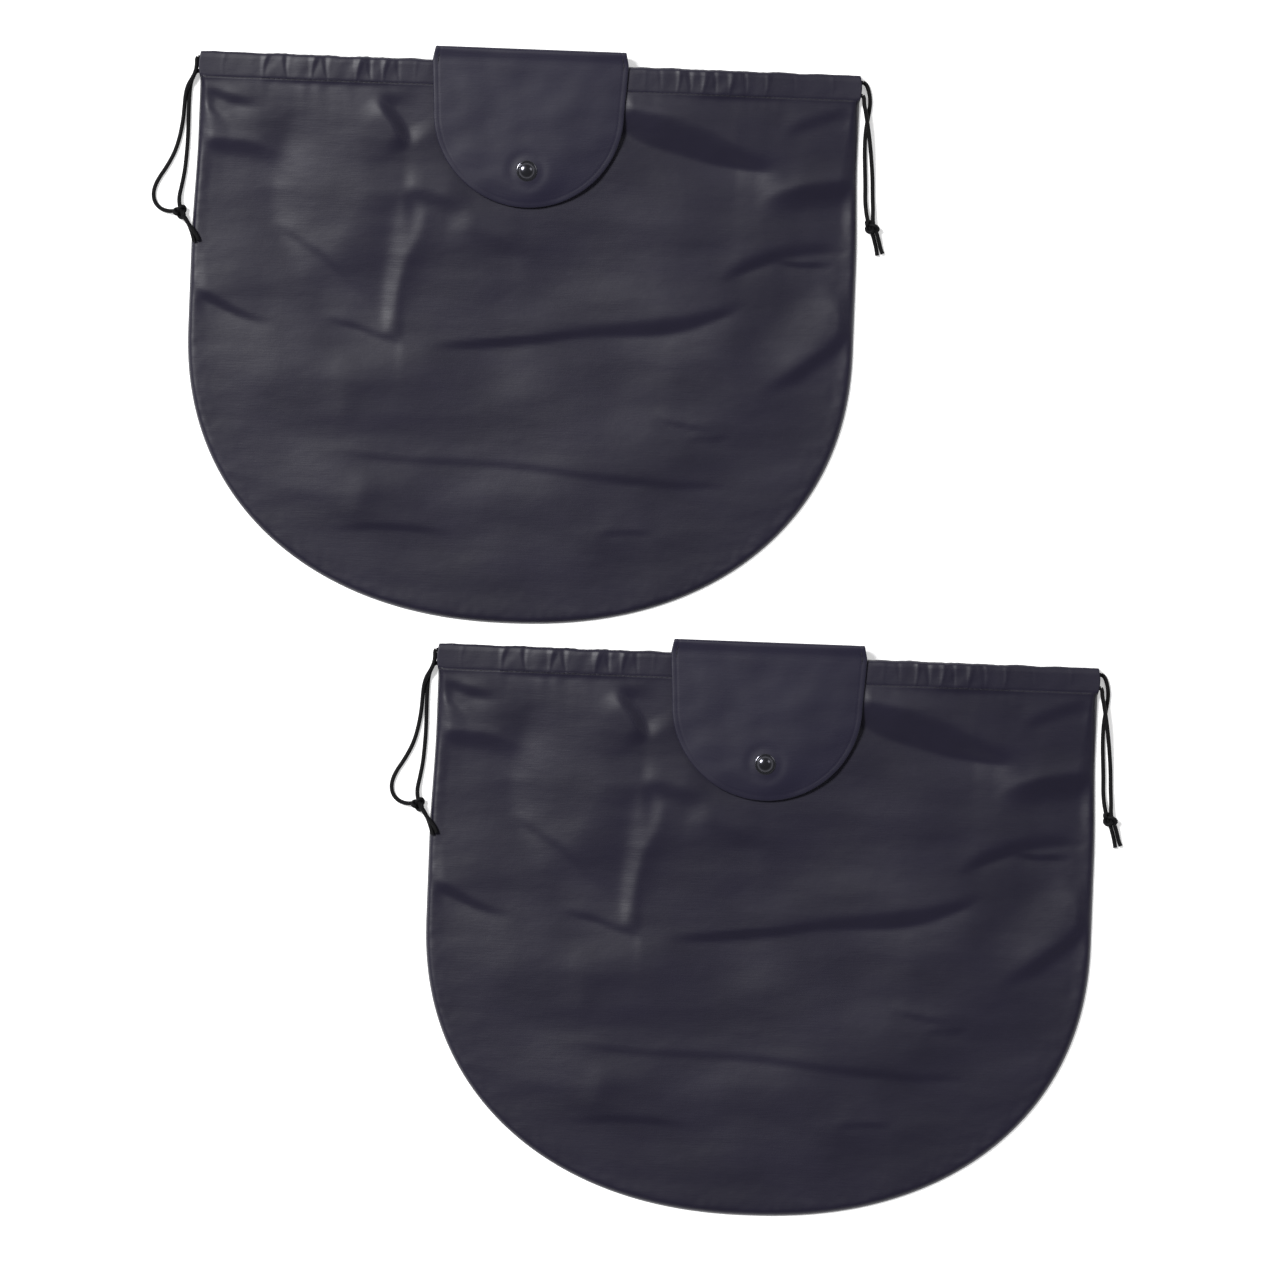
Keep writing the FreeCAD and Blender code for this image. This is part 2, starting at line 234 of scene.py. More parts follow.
def make_camera():
    """Straight above the set, turned so that the covers lean a little clockwise."""
    aim_x, aim_y = -0.0052, 0.00095
    view_width, lens, sensor = 0.7572, 300.0, 36.0
    lean = math.radians(2.18)
    data = bpy.data.cameras.new("camera")
    data.lens = lens
    data.sensor_width = sensor
    camera = bpy.data.objects.new("camera", data)
    camera.location = (aim_x, aim_y, view_width * lens / sensor)
    camera.rotation_euler = (0, 0, lean)
    bpy.context.scene.collection.objects.link(camera)
    bpy.context.scene.camera = camera


def make_floor(material):
    """A plain floor far wider than the view."""
    size = 6.0
    corners = [(-size, -size, 0), (size, -size, 0), (size, size, 0), (-size, size, 0)]
    floor = new_object("floor", corners, [(0, 1, 2, 3)], smooth=False)
    wear(floor, material)


def set_ramp(ramp, *stops):
    """Sets the places and colours of a colour ramp's two ends."""
    for element, (position, colour) in zip(ramp.color_ramp.elements, stops):
        element.position = position
        element.color = (*colour, 1)


def make_light(name, place_at, size, power):
    """A round soft light that faces the middle of the set."""
    data = bpy.data.lights.new(name, "AREA")
    data.shape = "DISK"
    data.size = size
    data.energy = power
    lamp = bpy.data.objects.new(name, data)
    lamp.location = place_at
    lamp.rotation_euler = (-Vector(place_at)).to_track_quat("-Z", "Y").to_euler()
    bpy.context.scene.collection.objects.link(lamp)


def make_lights():
    """A soft light from the left and a faint one from the right, in a room brighter round its sides."""
    make_light("key_light", (-3.6, 2.5, 6.5), 2.2, 640)
    make_light("fill_light", (2.8, 1.9, 5.6), 2.0, 22)
    world = bpy.data.worlds.new("studio")
    world.use_nodes = True
    tree = world.node_tree
    way = tree.nodes.new("ShaderNodeTexCoord")
    parts = tree.nodes.new("ShaderNodeSeparateXYZ")
    ramp = tree.nodes.new("ShaderNodeValToRGB")
    set_ramp(ramp, (0.35, (0.80, 0.80, 0.80)), (0.80, (0.10, 0.10, 0.10)))
    tree.links.new(way.outputs["Generated"], parts.inputs["Vector"])
    tree.links.new(parts.outputs["Z"], ramp.inputs["Fac"])
    tree.links.new(ramp.outputs["Color"], tree.nodes["Background"].inputs["Color"])
    bpy.context.scene.world = world
    bpy.context.scene.view_settings.view_transform = "Standard"


# ---------------------------------------------------------------- materials

class Nodes:
    """A material being built: short ways to add nodes and join them."""

    def __init__(self, name):
        self.material = bpy.data.materials.new(name)
        self.material.use_nodes = True
        self.tree = self.material.node_tree
        self.shader = self.tree.nodes["Principled BSDF"]

    def add(self, kind, values=(), **properties):
        node = self.tree.nodes.new(kind)
        for key, value in properties.items():
            setattr(node, key, value)
        for key, value in dict(values).items():
            node.inputs[key].default_value = value
        return node

    def join(self, source, target):
        self.tree.links.new(source, target)

    def set(self, **values):
        for key, value in values.items():
            self.shader.inputs[key.replace("_", " ")].default_value = value

    def stretched(self, scale_x, scale_y):
        """Cloth coordinates, stretched along and across the threads."""
        place_on = self.add("ShaderNodeUVMap", uv_map="cloth")
        stretch = self.add("ShaderNodeMapping", {"Scale": (scale_x, scale_y, 1)})
        self.join(place_on.outputs["UV"], stretch.inputs["Vector"])
        return stretch.outputs["Vector"]

    def cloth_noise(self, scale_x, scale_y, detail, roughness):
        """Noise over the cloth, stretched along and across its threads."""
        node = self.add("ShaderNodeTexNoise", {"Scale": 1.0, "Detail": detail, "Roughness": roughness})
        self.join(self.stretched(scale_x, scale_y), node.inputs["Vector"])
        return node.outputs["Fac"]

    def bump(self, height, strength, distance, under=None):
        node = self.add("ShaderNodeBump", {"Strength": strength, "Distance": distance})
        self.join(height, node.inputs["Height"])
        if under is not None:
            self.join(under, node.inputs["Normal"])
        return node.outputs["Normal"]

    def grain(self, scale, detail, strength, distance):
        """A bump of noise over the whole piece."""
        specks = self.add("ShaderNodeTexNoise", {"Scale": scale, "Detail": detail})
        place_on = self.add("ShaderNodeTexCoord")
        self.join(place_on.outputs["Object"], specks.inputs["Vector"])
        self.join(self.bump(specks.outputs["Fac"], strength, distance), self.shader.inputs["Normal"])


def nylon(name, dark, light, roughness):
    """Satin woven nylon: a fine plain weave, faint slubs along the weft, and a soft sheen."""
    m = Nodes(name)
    patches = m.cloth_noise(1.6, 2.6, 4.0, 0.6)
    tone = m.add("ShaderNodeValToRGB")
    set_ramp(tone, (0.35, dark), (0.68, light))
    m.join(patches, tone.inputs["Fac"])
    m.join(tone.outputs["Color"], m.shader.inputs["Base Color"])
    slubs = m.cloth_noise(8, 110, 5.0, 0.65)
    crinkle = m.cloth_noise(14, 22, 3.0, 0.5)
    warp = m.add("ShaderNodeTexWave", {"Scale": 60.0}, wave_type="BANDS", bands_direction="X")
    weft = m.add("ShaderNodeTexWave", {"Scale": 60.0}, wave_type="BANDS", bands_direction="Y")
    m.join(m.stretched(1, 1), warp.inputs["Vector"])
    m.join(m.stretched(1, 1), weft.inputs["Vector"])
    weave = m.add("ShaderNodeMath", operation="MULTIPLY")
    m.join(warp.outputs["Fac"], weave.inputs[0])
    m.join(weft.outputs["Fac"], weave.inputs[1])
    normal = m.bump(crinkle, 0.16, 0.0004)
    normal = m.bump(slubs, 0.26, 0.0002, normal)
    normal = m.bump(weave.outputs["Value"], 0.12, 0.0001, normal)
    m.join(normal, m.shader.inputs["Normal"])
    m.set(Roughness=roughness, Specular_IOR_Level=0.37)
    return m.material


def braided(name):
    """Round braided cord: two sets of strands that cross, black with a faint gloss."""
    m = Nodes(name)
    m.set(Base_Color=(0.0030, 0.0029, 0.0036, 1), Roughness=0.62, Specular_IOR_Level=0.14)
    place_on = m.add("ShaderNodeTexCoord")
    for_strands = []
    for lean in (1, -1):
        rotation = (0, 0, lean * math.radians(38))
        turn = m.add("ShaderNodeMapping", {"Rotation": rotation, "Scale": (60, 6, 1)})
        m.join(place_on.outputs["UV"], turn.inputs["Vector"])
        strand = m.add("ShaderNodeTexWave", {"Scale": 1.0}, wave_type="BANDS", bands_direction="X")
        m.join(turn.outputs["Vector"], strand.inputs["Vector"])
        for_strands.append(strand.outputs["Fac"])
    cross = m.add("ShaderNodeMath", operation="MAXIMUM")
    m.join(for_strands[0], cross.inputs[0])
    m.join(for_strands[1], cross.inputs[1])
    m.join(m.bump(cross.outputs["Value"], 0.5, 0.0002), m.shader.inputs["Normal"])
    return m.material


def lacquer(name):
    """Glossy black lacquer over metal, with faint unevenness."""
    m = Nodes(name)
    m.grain(900.0, 2.0, 0.04, 0.0001)
    m.set(Base_Color=(0.07, 0.07, 0.085, 1), Metallic=0.9, Roughness=0.17)
    m.set(Coat_Weight=0.5, Coat_Roughness=0.06)
    return m.material


def thread(name):
    """Sewing thread, a little lighter than the cloth."""
    m = Nodes(name)
    m.grain(2500.0, 2.0, 0.4, 0.0001)
    m.set(Base_Color=(0.016, 0.015, 0.020, 1), Roughness=0.6)
    return m.material


def pale_floor(name):
    """Nearly white paper with a glow of its own, which keeps the shadows on it faint."""
    m = Nodes(name)
    m.grain(35.0, 3.0, 0.03, 0.0005)
    m.set(Base_Color=(0.95, 0.95, 0.95, 1), Roughness=0.8)
    m.set(Emission_Color=(1, 1, 1, 1), Emission_Strength=0.4)
    return m.material


# ---------------------------------------------------------------- the bag's shape

def crowded(share, power):
    """Shares from 0 to 1, closer together towards 1."""
    return 1 - (1 - share) ** power


def u_grid(columns, straight, arch_rows, half_widths, arch_length, power, crowding=1.0):
    """x and below of a grid over a U: rows at the straight part's places, then the arch's.

    half_widths holds the half width at each straight row; the last row of the straight part is where
    the arch begins. Crowding above 1 brings the grid's lines closer together towards the edge."""
    s = np.linspace(-1, 1, columns)
    s = np.sign(s) * crowded(np.abs(s), crowding)
    x = [s * w for w in half_widths]
    below = [np.full(columns, d) for d in straight]
    for t in crowded(np.linspace(0, 1, arch_rows + 1)[1:], crowding):
        across, down = s * np.sqrt(1 - t * t / 2), t * np.sqrt(1 - s * s / 2)
        radius = np.hypot(across, down)
        fuller = radius / np.maximum((np.abs(across) ** power + down**power) ** (1 / power), 1e-9)
        x.append(across * fuller * half_widths[-1])
        below.append(straight[-1] + down * fuller * arch_length)
    return np.array(x), np.array(below)


def half_width_at(below):
    """The bag is a little narrower at its mouth than at its widest."""
    return HALF_WIDTH - MOUTH_NARROWING * (1 - smoothstep(50, 115, below))


def inset(x, below):
    """Roughly how far a place on the bag is from its seam."""
    t = np.clip((below - ARCH_START) / ARCH_LENGTH, 0, None)
    a = half_width_at(below)
    radius = (np.abs(x / a) ** ARCH_POWER + t**ARCH_POWER) ** (1 / ARCH_POWER)
    scale = a + (ARCH_LENGTH - a) * smoothstep(0, 1, t)
    return (1 - radius) * scale


# Narrow creases of the front panel: kind, height, width, reach over and under, line, fade at its ends.
FRONT_CREASES = [
    ("drop", 0.85, 1.4, 26, 22, [(-62, 173), (-20, 169), (20, 164), (50, 160)], (0.4, 0.5)),
    ("drop", 0.5, 3.0, 16, 16, [(-166, 96), (-145, 105), (-120, 120), (-88, 150)], (0.45, 0.45)),
    ("drop", 2.3, 3.6, 7, 8, [(-70, 54), (-79, 38), (-92, 22)], (0.3, 0.35)),
    ("drop", 0.6, 1.2, 10, 10, [(148, 113), (165, 115), (188, 114)], (0.3, 0.4)),
    ("valley", 1.1, 7, 16, 18, [(122, 178), (145, 158), (163, 142), (184, 124)], (0.4, 0.45)),
    ("ridge", 1.1, 7, 14, 16, [(140, 195), (172, 164), (200, 130)], (0.45, 0.2)),
    ("drop", 1.2, 4, 10, 22, [(138, 198), (165, 182), (185, 166), (204, 148)], (0.45, 0.1)),
    ("ridge", 0.5, 5, 16, 14, [(92, 205), (92, 185), (90, 160)], (0.45, 0.45)),
    ("ridge", 0.8, 4, 14, 12, [(-97, 282), (-92, 262), (-88, 244)], (0.35, 0.35)),
    ("ridge", 0.9, 5, 16, 16, [(-104, 232), (-104, 200), (-108, 172)], (0.3, 0.4)),
    ("drop", 0.3, 1.0, 8, 9, [(78, 209), (95, 213), (122, 217)], (0.3, 0.4)),
    ("drop", 0.25, 1.0, 8, 8, [(100, 222), (118, 221), (130, 219)], (0.3, 0.4)),
    ("drop", 0.35, 1.2, 10, 10, [(-112, 283), (-85, 281), (-60, 281), (-30, 284)], (0.3, 0.4)),
    ("drop", 0.3, 1.2, 9, 9, [(48, 281), (66, 279), (86, 279)], (0.3, 0.3)),
]

# Folds across the panel: slope, most height, upper and lower edge as (x, below); then pairs, for the
# upper and lower side: the edges' rounding and how far the cloth takes to level out beyond them; last,
# the length over which the left and right ends die away.
CROSS_FOLDS = [
    (0.34, 3.2,
     [(0, 165.5), (20, 162.5), (40, 158.5), (60, 155), (80, 152), (100, 148.5), (120, 143.5), (138, 139)],
     [(0, 166), (20, 164), (40, 162), (60, 161.5), (85, 160), (105, 155), (122, 147), (138, 140)],
     (1.5, 0.5), (20, 9), (24, 20)),
    (0.42, 2.2, [(-200, 141), (-185, 146), (-170, 154), (-160, 158), (-145, 161)],
     [(-200, 145.5), (-185, 151.5), (-170, 158), (-160, 160.5), (-145, 162)], (1.2, 0.8), (22, 12), (0, 18)),
    (0.44, 1.7, [(-126, 156.5), (-100, 160), (-85, 165), (-70, 169.5)],
     [(-126, 157.5), (-100, 163), (-85, 168), (-70, 171)], (1.2, 0.7), (24, 10), (22, 5)),
    (0.34, 2.8, [(-200, 52), (-185, 52), (-170, 52.5), (-160, 54), (-150, 58), (-138, 64)],
     [(-200, 58), (-185, 60), (-170, 62), (-160, 64), (-150, 70), (-138, 76)], (0.8, 3.0), (7, 20), (0, 26)),
    (0.36, 2.2, [(-200, 17), (-190, 20), (-180, 24), (-160, 29)],
     [(-200, 21), (-190, 26), (-180, 31), (-160, 33)], (1.0, 0.8), (8, 4), (0, 18)),
    (-0.34, 1.8, [(-200, 24), (-190, 32), (-178, 40)], [(-200, 31), (-190, 38), (-178, 44)],
     (0.8, 2.0), (3, 10), (0, 12)),
    (0.34, 3.0, [(-74, 77), (-60, 78), (-48, 81), (-30, 86)], [(-74, 82), (-60, 88), (-48, 92), (-30, 93)],
     (2.0, 2.5), (9, 16), (8, 18)),
    (0.20, 2.0, [(-46, 99), (-30, 100), (-15, 104), (4, 110)], [(-46, 103), (-30, 107), (-15, 112), (4, 115)],
     (2.5, 3.0), (10, 14), (14, 14)),
    (0.42, 6.0,
     [(16, 7), (50, 18), (71, 25), (90, 30), (108, 36), (125, 44), (137, 51), (154, 58)],
     [(16, 24), (50, 36), (65, 45), (78, 49), (90, 51.5), (108, 56.5), (125, 58.5), (137, 59.5), (154, 61)],
     (3.0, 0.6), (14, 16), (28, 18)),
    (0.36, 3.6, [(135, 79), (165, 67), (180, 64), (200, 61)], [(135, 86), (165, 82), (180, 80), (200, 72)],
     (0.8, 4.0), (8, 26), (32, 0)),
    (0.36, 2.4, [(114, 128), (135, 114), (155, 105), (175, 102), (195, 102)],
     [(114, 130), (135, 119.5), (155, 111.5), (175, 108), (195, 107)], (2.5, 0.6), (20, 9), (18, 22)),
    (0.28, 2.0, [(150, 36), (175, 24), (197, 13)], [(150, 40), (175, 30), (197, 20)],
     (2.0, 2.0), (10, 10), (14, 0)),
    (0.34, 0.9,
     [(-125, 235), (-88, 238), (-75, 240), (-20, 240), (10, 241), (40, 245), (100, 249), (140, 248)],
     [(-125, 236), (-88, 240), (-75, 242), (-20, 242), (10, 243.5), (40, 247.5), (100, 251.5), (140, 249)],
     (0.8, 0.6), (26, 16), (40, 35)),
]

# Facets that run down the panel and face left: as above, with their left and right edges as (below, x).
DOWN_FOLDS = [
    (0.26, 2.4, [(78, -77), (95, -79), (120, -81.5), (145, -83), (158, -82.5), (168, -80)],
     [(78, -64), (92, -59), (105, -62), (120, -70), (140, -75), (158, -77.5), (168, -79.5)],
     (1.6, 0.9), (24, 10), (20, 6)),
    (0.14, 4.0, [(20, -136), (60, -149), (80, -152), (98, -150), (116, -141), (150, -128)],
     [(20, -108), (60, -98), (80, -96), (98, -102), (116, -112), (150, -120)],
     (4.5, 9.0), (16, 40), (42, 50)),
]

# Where the casing's pleats meet its stitching, and how far each one opens at the mouth's edge.
PLEATS = [
    (-184, 3), (-160, 5), (-145, -4), (-131, 6), (-121, -5), (-104, 7), (-95, -4), (-88, 5), (-78, -4),
    (-69, 3), (68, 3), (78, -3), (88, 4), (96, -5), (103, 6), (111, -4), (119, 6), (129, -4), (141, 4),
    (158, -3), (180, 3),
]


def rounded_rise(distance, radius):
    """Nought before the edge and the distance after it, rounded over the edge."""
    return radius * np.logaddexp(0, distance / radius)


def fold(along, across, slope, most, first, second, rounding, reach, fade):
    """A facet between two edges, the surface outside it levelling out on both sides.

    Rounding, reach and fade each hold one length for the first side or end and one for the second."""
    start, end = first[0][0], first[-1][0]
    a, b = smooth_line(along, first), smooth_line(along, second)
    wide = np.maximum(b - a, 0.5)
    height = np.sign(slope) * np.minimum(np.abs(slope) * wide, most)
    height = height * smoothstep(start - 0.5, start + fade[0], along)
    height = height * smoothstep(end + 0.5, end - fade[1], along)
    t = (rounded_rise(across - a, rounding[0]) - rounded_rise(across - b, rounding[1])) / wide - 0.5
    before, after = rounded_rise(a - across, 2.0), rounded_rise(across - b, 2.0)
    return height * np.clip(t, -0.5, 0.5) * np.exp(-before / reach[0] - after / reach[1])


def gathered(x):
    """How strongly the casing is gathered at each place along the mouth."""
    left = smoothstep(-172, -155, x) * (1 - smoothstep(-88, -72, x))
    right = smoothstep(72, 88, x) * (1 - smoothstep(135, 160, x))
    return 0.25 + 0.75 * np.maximum(left, 0.8 * right)


def pleats(x, below):
    """The casing's gathers: creases that open out as they run up from the stitching to the edge."""
    rise = 0.28 * noise((x + 0.5 * below) / 9, below / 14, 22) * gathered(x)
    up = np.clip((STITCH_LINE - below) / STITCH_LINE, 0, 1)
    for foot, opening in PLEATS:
        half = 0.5 + abs(opening) * 0.55 * up
        middle = foot + 0.35 * opening * up
        share = np.clip(1 - np.abs(x - middle) / half, 0, 1)
        rise = rise + np.sign(opening) * 0.18 * half * share * gathered(x)
    return rise


def middle_rise(x):
    """From 0 at the mouth's ends to 1 along its middle."""
    return smoothstep(0, 110, HALF_WIDTH - np.abs(x))


def front_height(x, below):
    """The front cloth's outer face."""
    e = np.clip(inset(x, below), 0, None)
    casing = 7.1 + 4.4 * middle_rise(x)
    panel = 0.9 + 3.5 * (1 - np.exp(-e / 0.9)) + 2.0 * smoothstep(0, 75, e)
    under = np.clip(below - STITCH_LINE, 0, None)
    stretch = 32 + 53 * smoothstep(0, 75, HALF_WIDTH - np.abs(x))
    lift = np.exp(-((under / stretch) ** 1.5)) * smoothstep(0, 3 + 0.15 * under, e)
    panel = panel + (casing - 0.5 - panel) * lift
    relief = sum(crease(x, below, *c) for c in FRONT_CREASES)
    relief = relief + sum(fold(x, below, -f[0], *f[1:]) for f in CROSS_FOLDS)
    relief = relief + sum(fold(below, x, *f) for f in DOWN_FOLDS)
    relief = relief * smoothstep(0, 14, under) + 0.25 * noise(x / 38, below / 19, 5)
    relief = relief + 0.07 * noise(x / 22, below / 8, 8) + 0.025 * noise(x / 9, below / 3.4, 11)
    relief = relief + 0.28 * gathered(x) * noise(x / 6.5, below / 40, 24) * np.exp(-under / 7)
    seam_pull = 0.22 * noise((x + below) / 7, (x - below) / 7, 25) * np.exp(-e / 6)
    panel = panel + relief * smoothstep(0, 10, e) + seam_pull * smoothstep(0, 1.5, e)
    panel = panel + 1.3 * noise(x / 75, below / 42, 3) * smoothstep(0, 55, e)
    hem = casing + pleats(x, below) - 1.2 * np.exp(-((below / 1.6) ** 2))
    top = hem + (panel - hem) * smoothstep(14.8, 17.2, below)
    top = top - 0.15 * np.exp(-(((below - STITCH_LINE) / 0.8) ** 2))
    past_flap = np.hypot(x, np.clip(below - FLAP_TIP_CENTRE, 0, None)) - FLAP_TIP_RADIUS
    return top - smoothstep(4, 0, past_flap) * rounded_rise(top - flap_rest_height(x, below) + 1.1, 0.25)


def back_height(x, below):
    """The back cloth's outer face, on the surface that the cover lies on."""
    e = np.clip(inset(x, below), 0, None)
    waves = 0.35 * (1 + noise(x / 60, below / 35, 31)) * smoothstep(0, 25, e)
    fold_up = 0.5 * np.exp(-e / 1.5) * smoothstep(CASING_DEPTH, CASING_DEPTH + 8, below)
    return 0.06 + 0.5 * waves + fold_up


def scallop(x, below):
    """The small waves of the mouth's edge."""
    wave = 0.6 * noise(x / 13, x * 0, 26) + 0.35 * gathered(x) * noise(x / 4, x * 0, 27)
    return wave * np.exp(-below / 6)


def panel_grid(outer_z):
    """x, below and z of a panel, from just above its casing's stitching down to the seam."""
    straight = np.linspace(STITCH_LINE - SEAM_OVERLAP, ARCH_START, STRAIGHT_ROWS)
    x, below = u_grid(PANEL_COLUMNS, straight, ARCH_ROWS, half_width_at(straight), ARCH_LENGTH, ARCH_POWER,
                      PANEL_CROWDING)
    return x, below, outer_z(x, below)


def casing_grid(outer_z, inner_z):
    """x, below and z of a casing: its turned-in hem, the mouth's edge, then its outside."""
    x = np.linspace(-1, 1, CASING_COLUMNS)[None, :] * half_width_at(0)
    outward = np.sign(outer_z(x, x * 0 + UPPER_LANE) - inner_z)
    rows = []
    for below in np.array([15.2, 14.4, 13.4, 12.0, 9.5, 6.5, 4.0, FOLD_DEPTH + 0.6]):
        stitched = outer_z(x, x * 0 + STITCH_LINE) - 0.75 * outward
        z = inner_z + (stitched - inner_z) * smoothstep(13.0, 15.2, below)
        narrow = 1 - HEM_NOTCH / HALF_WIDTH * smoothstep(FOLD_DEPTH, 6, below)
        rows.append((x * narrow, x * 0 + below, z))
    top_z = outer_z(x, x * 0 + FOLD_DEPTH)
    for turn in np.radians(np.linspace(-75, 75, 8)):
        z = (top_z + inner_z) / 2 + (top_z - inner_z) / 2 * math.sin(turn)
        rows.append((x, x * 0 + FOLD_DEPTH * (1 - math.cos(turn)), z))
    for below in np.linspace(FOLD_DEPTH, STITCH_LINE + SEAM_OVERLAP, CASING_ROWS):
        under = smoothstep(STITCH_LINE - 0.2, STITCH_LINE + SEAM_OVERLAP, below)
        rows.append((x, x * 0 + below, outer_z(x, x * 0 + below) - 0.3 * under * outward))
    x, below, z = (np.vstack([row[i] for row in rows]) for i in range(3))
    bowed = 1 + END_BOW / HALF_WIDTH * np.sin(np.pi * np.clip(below / CASING_DEPTH, 0, 1))
    return x * bowed, below + scallop(x, below), z


def cloth_uv(x, down):
    """Cloth coordinates for a grid, from the places across and down the cloth."""
    return np.stack([x, down], axis=-1).reshape(-1, 2) / CLOTH_UV_STEP


def length_down(x, below, z):
    """How far down the cloth each row of a casing's grid lies, round its folds."""
    lengths = np.hypot(np.diff(below, axis=0), np.diff(z, axis=0)).mean(axis=1)
    return np.concatenate([[0], np.cumsum(lengths)])[:, None] + x * 0


def make_cloth_piece(name, cover, grid, down, faces, cloth):
    """A panel's or casing's cloth, with its thickness, on its cover."""
    x, below, z = grid
    uv = cloth_uv(x, down)
    piece = new_object(name, place(cover, x, below, z).reshape(-1, 3), faces, uv)
    add_thickness(piece, CLOTH, -1)
    wear(piece, cloth)
    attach(piece, f"cover_{cover}")
    return piece


def make_panels(cloth):
    """Each cover's front and back panels, and the casings along their upper edges."""
    panels = {"front": panel_grid(front_height), "back": panel_grid(back_height)}
    casings = {"front": casing_grid(front_height, FRONT_HEM_Z), "back": casing_grid(back_height, BACK_HEM_Z)}
    for kind, grids in (("panel", panels), ("casing", casings)):
        face_up = grid_faces(*grids["front"][0].shape)
        face_down = [tuple(reversed(face)) for face in face_up]
        for side, faces in (("front", face_up), ("back", face_down)):
            down = grids[side][1] if kind == "panel" else length_down(*grids[side])
            for cover in COVERS:
                name = f"cover_{cover}_{side}_{kind}"
                piece = make_cloth_piece(f"{name}_cloth", cover, grids[side], down, faces, cloth)
                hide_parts(name)


# ---------------------------------------------------------------- cords

# Each strand's route: how far out from the casing's end, how far below the mouth, and the height.
STRANDS = {
    ("left", "front"): [
        (0.0, 4.0, 5.6), (0.8, 4.6, 5.6), (0.6, 8.0, 5.6), (1.0, 12.0, 5.3), (2.8, 16.2, 4.7),
        (5.4, 20.5, 4.0),
        (6.8, 26.0, 2.6), (7.2, 33.0, 1.7), (7.7, 41.5, 1.4), (9.1, 51.0, 1.4), (11.6, 60.5, 1.4),
        (16.2, 69.8, 1.4), (21.4, 77.8, 1.4), (23.9, 84.4, 1.4), (23.5, 90.4, 1.4), (20.2, 94.9, 1.5),
        (15.0, 96.9, 2.2), (9.8, 96.5, 3.2), (6.6, 98.0, 3.2), (4.6, 99.8, 2.6), (2.9, 102.4, 2.5),
        (1.2, 105.6, 3.1), (-0.2, 109.0, 4.7), (-1.3, 112.2, 5.8), (-2.0, 114.8, 6.0),
    ],
    ("left", "back"): [
        (0.0, 12.0, 1.8), (1.2, 12.4, 1.8), (2.4, 15.0, 1.6), (3.8, 18.5, 1.5), (4.4, 24.0, 1.4),
        (4.6, 32.0, 1.4), (4.5, 42.0, 1.4), (4.4, 52.0, 1.4), (4.8, 62.0, 1.4), (5.5, 72.0, 1.4),
        (7.0, 81.0, 1.5), (8.4, 88.0, 2.6), (7.8, 93.6, 4.4), (6.0, 98.0, 5.6), (3.9, 101.3, 5.3),
        (1.6, 104.6, 5.8), (-1.2, 107.8, 6.3), (-3.3, 110.8, 6.5), (-4.4, 113.6, 6.3),
    ],
    ("right", "front"): [
        (0.0, 12.0, 5.6), (0.9, 13.0, 5.6), (1.0, 16.5, 5.5), (2.2, 21.5, 5.3), (3.2, 27.0, 5.2),
        (4.4, 33.0, 4.9),
        (5.8, 42.5, 3.8), (7.0, 52.5, 2.4), (7.9, 62.0, 1.5), (8.3, 72.0, 1.4), (8.9, 80.5, 2.0),
        (8.9, 87.0, 3.4), (9.9, 90.6, 3.9), (11.5, 93.8, 3.6), (12.6, 97.2, 2.8), (13.5, 100.2, 2.0),
        (14.3, 103.2, 1.5), (15.6, 106.2, 1.4),
    ],
    ("right", "back"): [
        (0.0, 4.0, 1.8), (1.4, 4.3, 1.8), (2.9, 6.6, 1.7), (4.1, 10.5, 1.5), (4.8, 15.0, 1.4),
        (4.5, 20.0, 1.4),
        (3.6, 26.0, 1.4), (2.5, 34.5, 1.4), (2.5, 46.0, 1.4), (3.1, 56.0, 1.4), (3.7, 66.0, 1.4),
        (3.9, 75.0, 1.5), (4.9, 82.5, 2.2), (6.3, 88.0, 3.3), (7.5, 91.4, 3.8), (9.1, 94.6, 3.4),
        (10.1, 97.8, 2.6), (11.0, 100.8, 2.0), (11.8, 103.8, 1.5), (12.4, 107.3, 1.4),
    ],
}
# Knots: place, then turn, stretch and narrowing.
KNOT_PLACES = {"left": (7.2, 97.0, 3.9), "right": (8.1, 90.6, 3.9)}
KNOT_SHAPES = {"left": (math.radians(25), 1.0, 1.0), "right": (math.radians(-36), 1.22, 0.86)}
SIDE_SIGNS = {"left": -1, "right": 1}


def nurbs(name, points, diameter):
    """A smooth round cord whose control points are the route's."""
    curve = bpy.data.curves.new(name, "CURVE")
    curve.dimensions = "3D"
    curve.resolution_u = 12
    curve.bevel_depth = diameter / 2
    curve.bevel_resolution = 5
    curve.use_fill_caps = True
    spline = curve.splines.new("NURBS")
    spline.points.add(len(points) - 1)
    for control, point in zip(spline.points, points):
        control.co = (*point, 1)
    spline.order_u = 3
    spline.use_endpoint_u = True
    cord = bpy.data.objects.new(name, curve)
    bpy.context.scene.collection.objects.link(cord)
    return cord


def strand_points(cover, pull, points):
    """Row-frame points for places given out from the casing's end, below the mouth and up."""
    out, below, z = np.array(points).T
    return place(cover, SIDE_SIGNS[pull] * (HALF_WIDTH + out), below, z)


def ring_faces(rings, sides):
    """Faces of a run of rings of vertices, with both ends filled."""
    faces = []
    for ring in range(rings - 1):
        for side in range(sides):
            a, b = ring * sides + side, ring * sides + (side + 1) % sides
            faces.append((a, b, b + sides, a + sides))
    faces.append(tuple(reversed(range(sides))))
    last = (rings - 1) * sides
    faces.append(tuple(range(last, last + sides)))
    return faces


